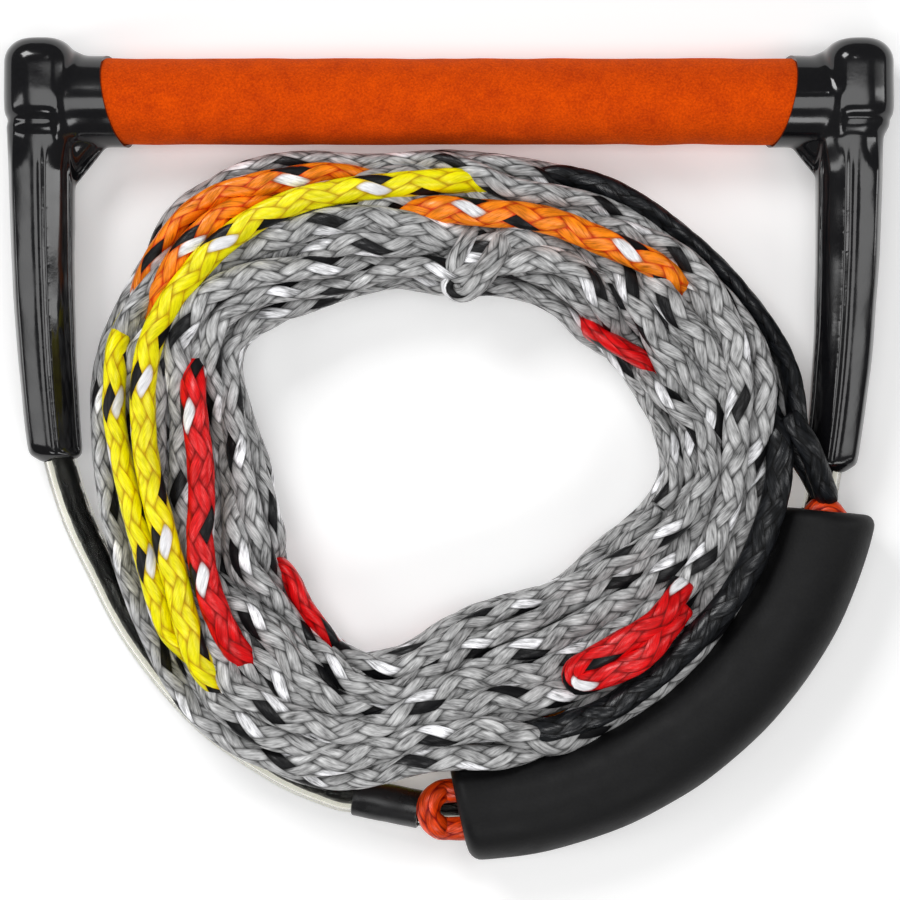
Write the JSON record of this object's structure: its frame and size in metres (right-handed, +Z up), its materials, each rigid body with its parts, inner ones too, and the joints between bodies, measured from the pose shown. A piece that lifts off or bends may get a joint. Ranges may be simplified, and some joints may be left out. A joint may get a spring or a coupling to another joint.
{
  "type": "tow rope handle",
  "caption": "Water-ski tow handle lying flat: foam-gripped bar, moulded end guards, hosed bridle with bent float, and its coiled sectioned rope.",
  "frame": {"origin": "middle of the handle's outline, on the ground that it lies on", "axes": "+X along the bar to the right, +Y from the bridle's bend to the bar, +Z up from the ground"},
  "size_m": [0.33, 0.3049, 0.0417],
  "materials": {
    "tube_metal": "drawn, satin",
    "grip_foam": "fine-grained suede foam",
    "plug_plastic": "moulded, matte",
    "guard_vinyl": "glossy dipped vinyl",
    "black_rope": "braided polyethylene, slight sheen",
    "clear_hose": "clear vinyl",
    "sleeve_rubber": "smooth rubber, satin",
    "tail_rope": "braided polyethylene, slight sheen",
    "float_foam": "closed-cell foam, satin",
    "grey_rope": "braided polyethylene with a white and a black tracer",
    "yellow_rope": "braided polyethylene with a white and a black tracer",
    "orange_rope": "braided polyethylene with a white and a black tracer",
    "red_rope": "braided polyethylene with a white and a black tracer"
  },
  "bodies": {
    "handle": {"bar_tube": "tube_metal", "grip_sleeve": "grip_foam", "end_plug_left": "plug_plastic", "end_plug_right": "plug_plastic", "guard_left": "guard_vinyl", "guard_right": "guard_vinyl", "bridle_knot_left": "black_rope", "bridle_knot_right": "black_rope", "bridle_rope_left": "black_rope", "bridle_rope_right": "black_rope", "bridle_hose_left": "clear_hose", "bridle_hose_right": "clear_hose", "apex_sleeve": "sleeve_rubber", "tail_loop": "tail_rope", "hitch_loop": "black_rope", "black_section": "black_rope", "yellow_section": "yellow_rope", "orange_section": "orange_rope", "red_section": "red_rope", "red_eye": "red_rope", "grey_section_a": "grey_rope", "grey_section_b": "grey_rope", "grey_section_c": "grey_rope", "boat_loop": "grey_rope"},
    "float": {"float": "float_foam"}
  },
  "joints": [
    {"name": "float_slide", "type": "hinge", "parent": "handle", "child": "float", "pos_m": [0.003, 0.0065, 0.019], "axis": [0, 0, 1], "range_deg": [-3, 1.2]}
  ]
}
